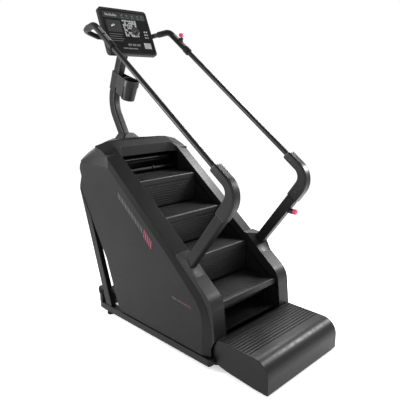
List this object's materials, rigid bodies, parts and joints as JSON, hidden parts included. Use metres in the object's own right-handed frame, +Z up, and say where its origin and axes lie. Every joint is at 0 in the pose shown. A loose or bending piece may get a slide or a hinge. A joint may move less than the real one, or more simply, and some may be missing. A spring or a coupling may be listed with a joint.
{
  "type": "stair climber",
  "caption": "Commercial stair climber with revolving steps between moulded stringers, an entry step, long handrails with grips, a central mast, cup holder and touch-screen console.",
  "frame": {"origin": "on the floor at the centre of the footprint", "axes": "+X to the user's right, +Y the way the climbing user faces, +Z up"},
  "size_m": [0.804, 1.8497, 2.1888],
  "materials": {
    "casing": "fine-grained charcoal moulding, satin",
    "stringer": "smooth charcoal moulding with a soft sheen",
    "rear_panel": "dark textured moulding",
    "frame_paint": "charcoal powder coat, fine texture",
    "rail_paint": "satin charcoal powder coat",
    "chassis_steel": "machined steel, lightly oiled",
    "chain_steel": "oiled roller chain",
    "step_plastic": "near-black ribbed moulding",
    "entry_plastic": "dark grey ribbed moulding with sheen on the rolled front",
    "tray_plastic": "black moulding",
    "trim_plastic": "dark satin moulding",
    "console_shell": "dark satin moulding",
    "screen": "dark glass with a lit display behind it",
    "grip_rubber": "soft moulded grip",
    "pulse_metal": "satin metal contact plates",
    "stop_red": "bright red moulding",
    "foot_rubber": "black rubber",
    "wheel_rubber": "hard black rubber",
    "belt_rubber": "ribbed black belt",
    "motor_iron": "painted casting",
    "control_case": "grey sheet steel",
    "inlet_plastic": "black moulding",
    "screw_steel": "black zinc-plated steel"
  },
  "bodies": {
    "frame": {"side_cover_left": "casing", "side_cover_right": "casing", "stringer_cover_left": "stringer", "stringer_cover_right": "stringer", "nose_cover_left": "stringer", "nose_cover_right": "stringer", "top_cap": "stringer", "top_rear_cover": "stringer", "rear_cover": "rear_panel", "rear_base_cover": "rear_panel", "base_frame": "frame_paint", "rear_uprights": "frame_paint", "wheel_axles": "frame_paint", "mast": "frame_paint", "rail_post_left": "frame_paint", "rail_post_right": "frame_paint", "handrail_left": "rail_paint", "handrail_right": "rail_paint", "rail_crossbar": "rail_paint", "chassis_plates": "chassis_steel", "bearings": "chassis_steel", "entry_step_top": "entry_plastic", "entry_cheek_left": "entry_plastic", "entry_cheek_right": "entry_plastic", "entry_step_tray": "tray_plastic", "mast_collar": "trim_plastic", "cup_holder": "trim_plastic", "console_bracket": "trim_plastic", "elbow_cover_left": "trim_plastic", "elbow_cover_right": "trim_plastic", "stop_housings": "trim_plastic", "console_housing": "console_shell", "console_bezel": "console_shell", "screen_glass": "screen", "grip_left": "grip_rubber", "grip_right": "grip_rubber", "pulse_plates": "pulse_metal", "levelling_feet": "foot_rubber", "drive_belt": "belt_rubber", "drive_motor": "motor_iron", "control_box": "control_case", "power_inlet": "inlet_plastic", "cover_screws": "screw_steel"},
    "flight": {"step_1": "step_plastic", "step_2": "step_plastic", "step_3": "step_plastic", "step_4": "step_plastic", "chain_top_run": "chain_steel"},
    "return_side": {"return_steps": "step_plastic", "chain_return_run": "chain_steel"},
    "upper_sprockets": {"upper_shaft": "chassis_steel", "upper_turn_step": "step_plastic"},
    "lower_sprockets": {"lower_shaft": "chassis_steel", "lower_turn_step": "step_plastic"},
    "motor_rotor": {"motor_pulley": "chassis_steel"},
    "top_stop": {"stop_knob_top": "stop_red"},
    "low_stop": {"stop_knob_low": "stop_red"},
    "mains_rocker": {"power_switch": "inlet_plastic"},
    "left_wheel": {"transport_wheel_left": "wheel_rubber"},
    "right_wheel": {"transport_wheel_right": "wheel_rubber"}
  },
  "joints": [
    {"name": "flight_slide", "type": "slide", "parent": "frame", "child": "flight", "axis": [0, -0.7773, -0.6291], "range_m": [0, 0.05]},
    {"name": "return_slide", "type": "slide", "parent": "frame", "child": "return_side", "axis": [0, 0.7773, 0.6291], "range_m": [-0.0005, 0.0505]},
    {"name": "upper_sprocket_turn", "type": "hinge", "parent": "frame", "child": "upper_sprockets", "pos_m": [0, 0.51526, 1.04386], "axis": [1, 0, 0], "range_deg": [-0.3, 31.44]},
    {"name": "lower_sprocket_turn", "type": "hinge", "parent": "frame", "child": "lower_sprockets", "pos_m": [0, -0.41658, 0.28969], "axis": [1, 0, 0], "range_deg": [-0.3, 31.44]},
    {"name": "motor_turn", "type": "hinge", "parent": "frame", "child": "motor_rotor", "pos_m": [0.316, 0.172, 0.285], "axis": [1, 0, 0], "range_deg": [-1, 94.42]},
    {"name": "top_stop_press", "type": "slide", "parent": "frame", "child": "top_stop", "axis": [0, 0, -1], "range_m": [0, 0.005], "stiffness_N_per_m": 600, "springref_m": -0.002},
    {"name": "low_stop_press", "type": "slide", "parent": "frame", "child": "low_stop", "axis": [0, 1, 0], "range_m": [0, 0.005], "stiffness_N_per_m": 600, "springref_m": -0.002},
    {"name": "mains_rocker_tilt", "type": "hinge", "parent": "frame", "child": "mains_rocker", "pos_m": [-0.205, 0.42177, 0.24], "axis": [1, 0, 0], "range_deg": [-9, 9]},
    {"name": "left_wheel_spin", "type": "hinge", "parent": "frame", "child": "left_wheel", "pos_m": [-0.34, 0.652, 0.125], "axis": [1, 0, 0], "continuous": true},
    {"name": "right_wheel_spin", "type": "hinge", "parent": "frame", "child": "right_wheel", "pos_m": [0.34, 0.652, 0.125], "axis": [1, 0, 0], "continuous": true}
  ],
  "couplings": [
    {"joint": "return_slide", "follows": "flight_slide", "ratio": 1},
    {"joint": "upper_sprocket_turn", "follows": "flight_slide", "rad_per_m": 10.87},
    {"joint": "lower_sprocket_turn", "follows": "flight_slide", "rad_per_m": 10.87},
    {"joint": "motor_turn", "follows": "flight_slide", "rad_per_m": 32.609}
  ]
}
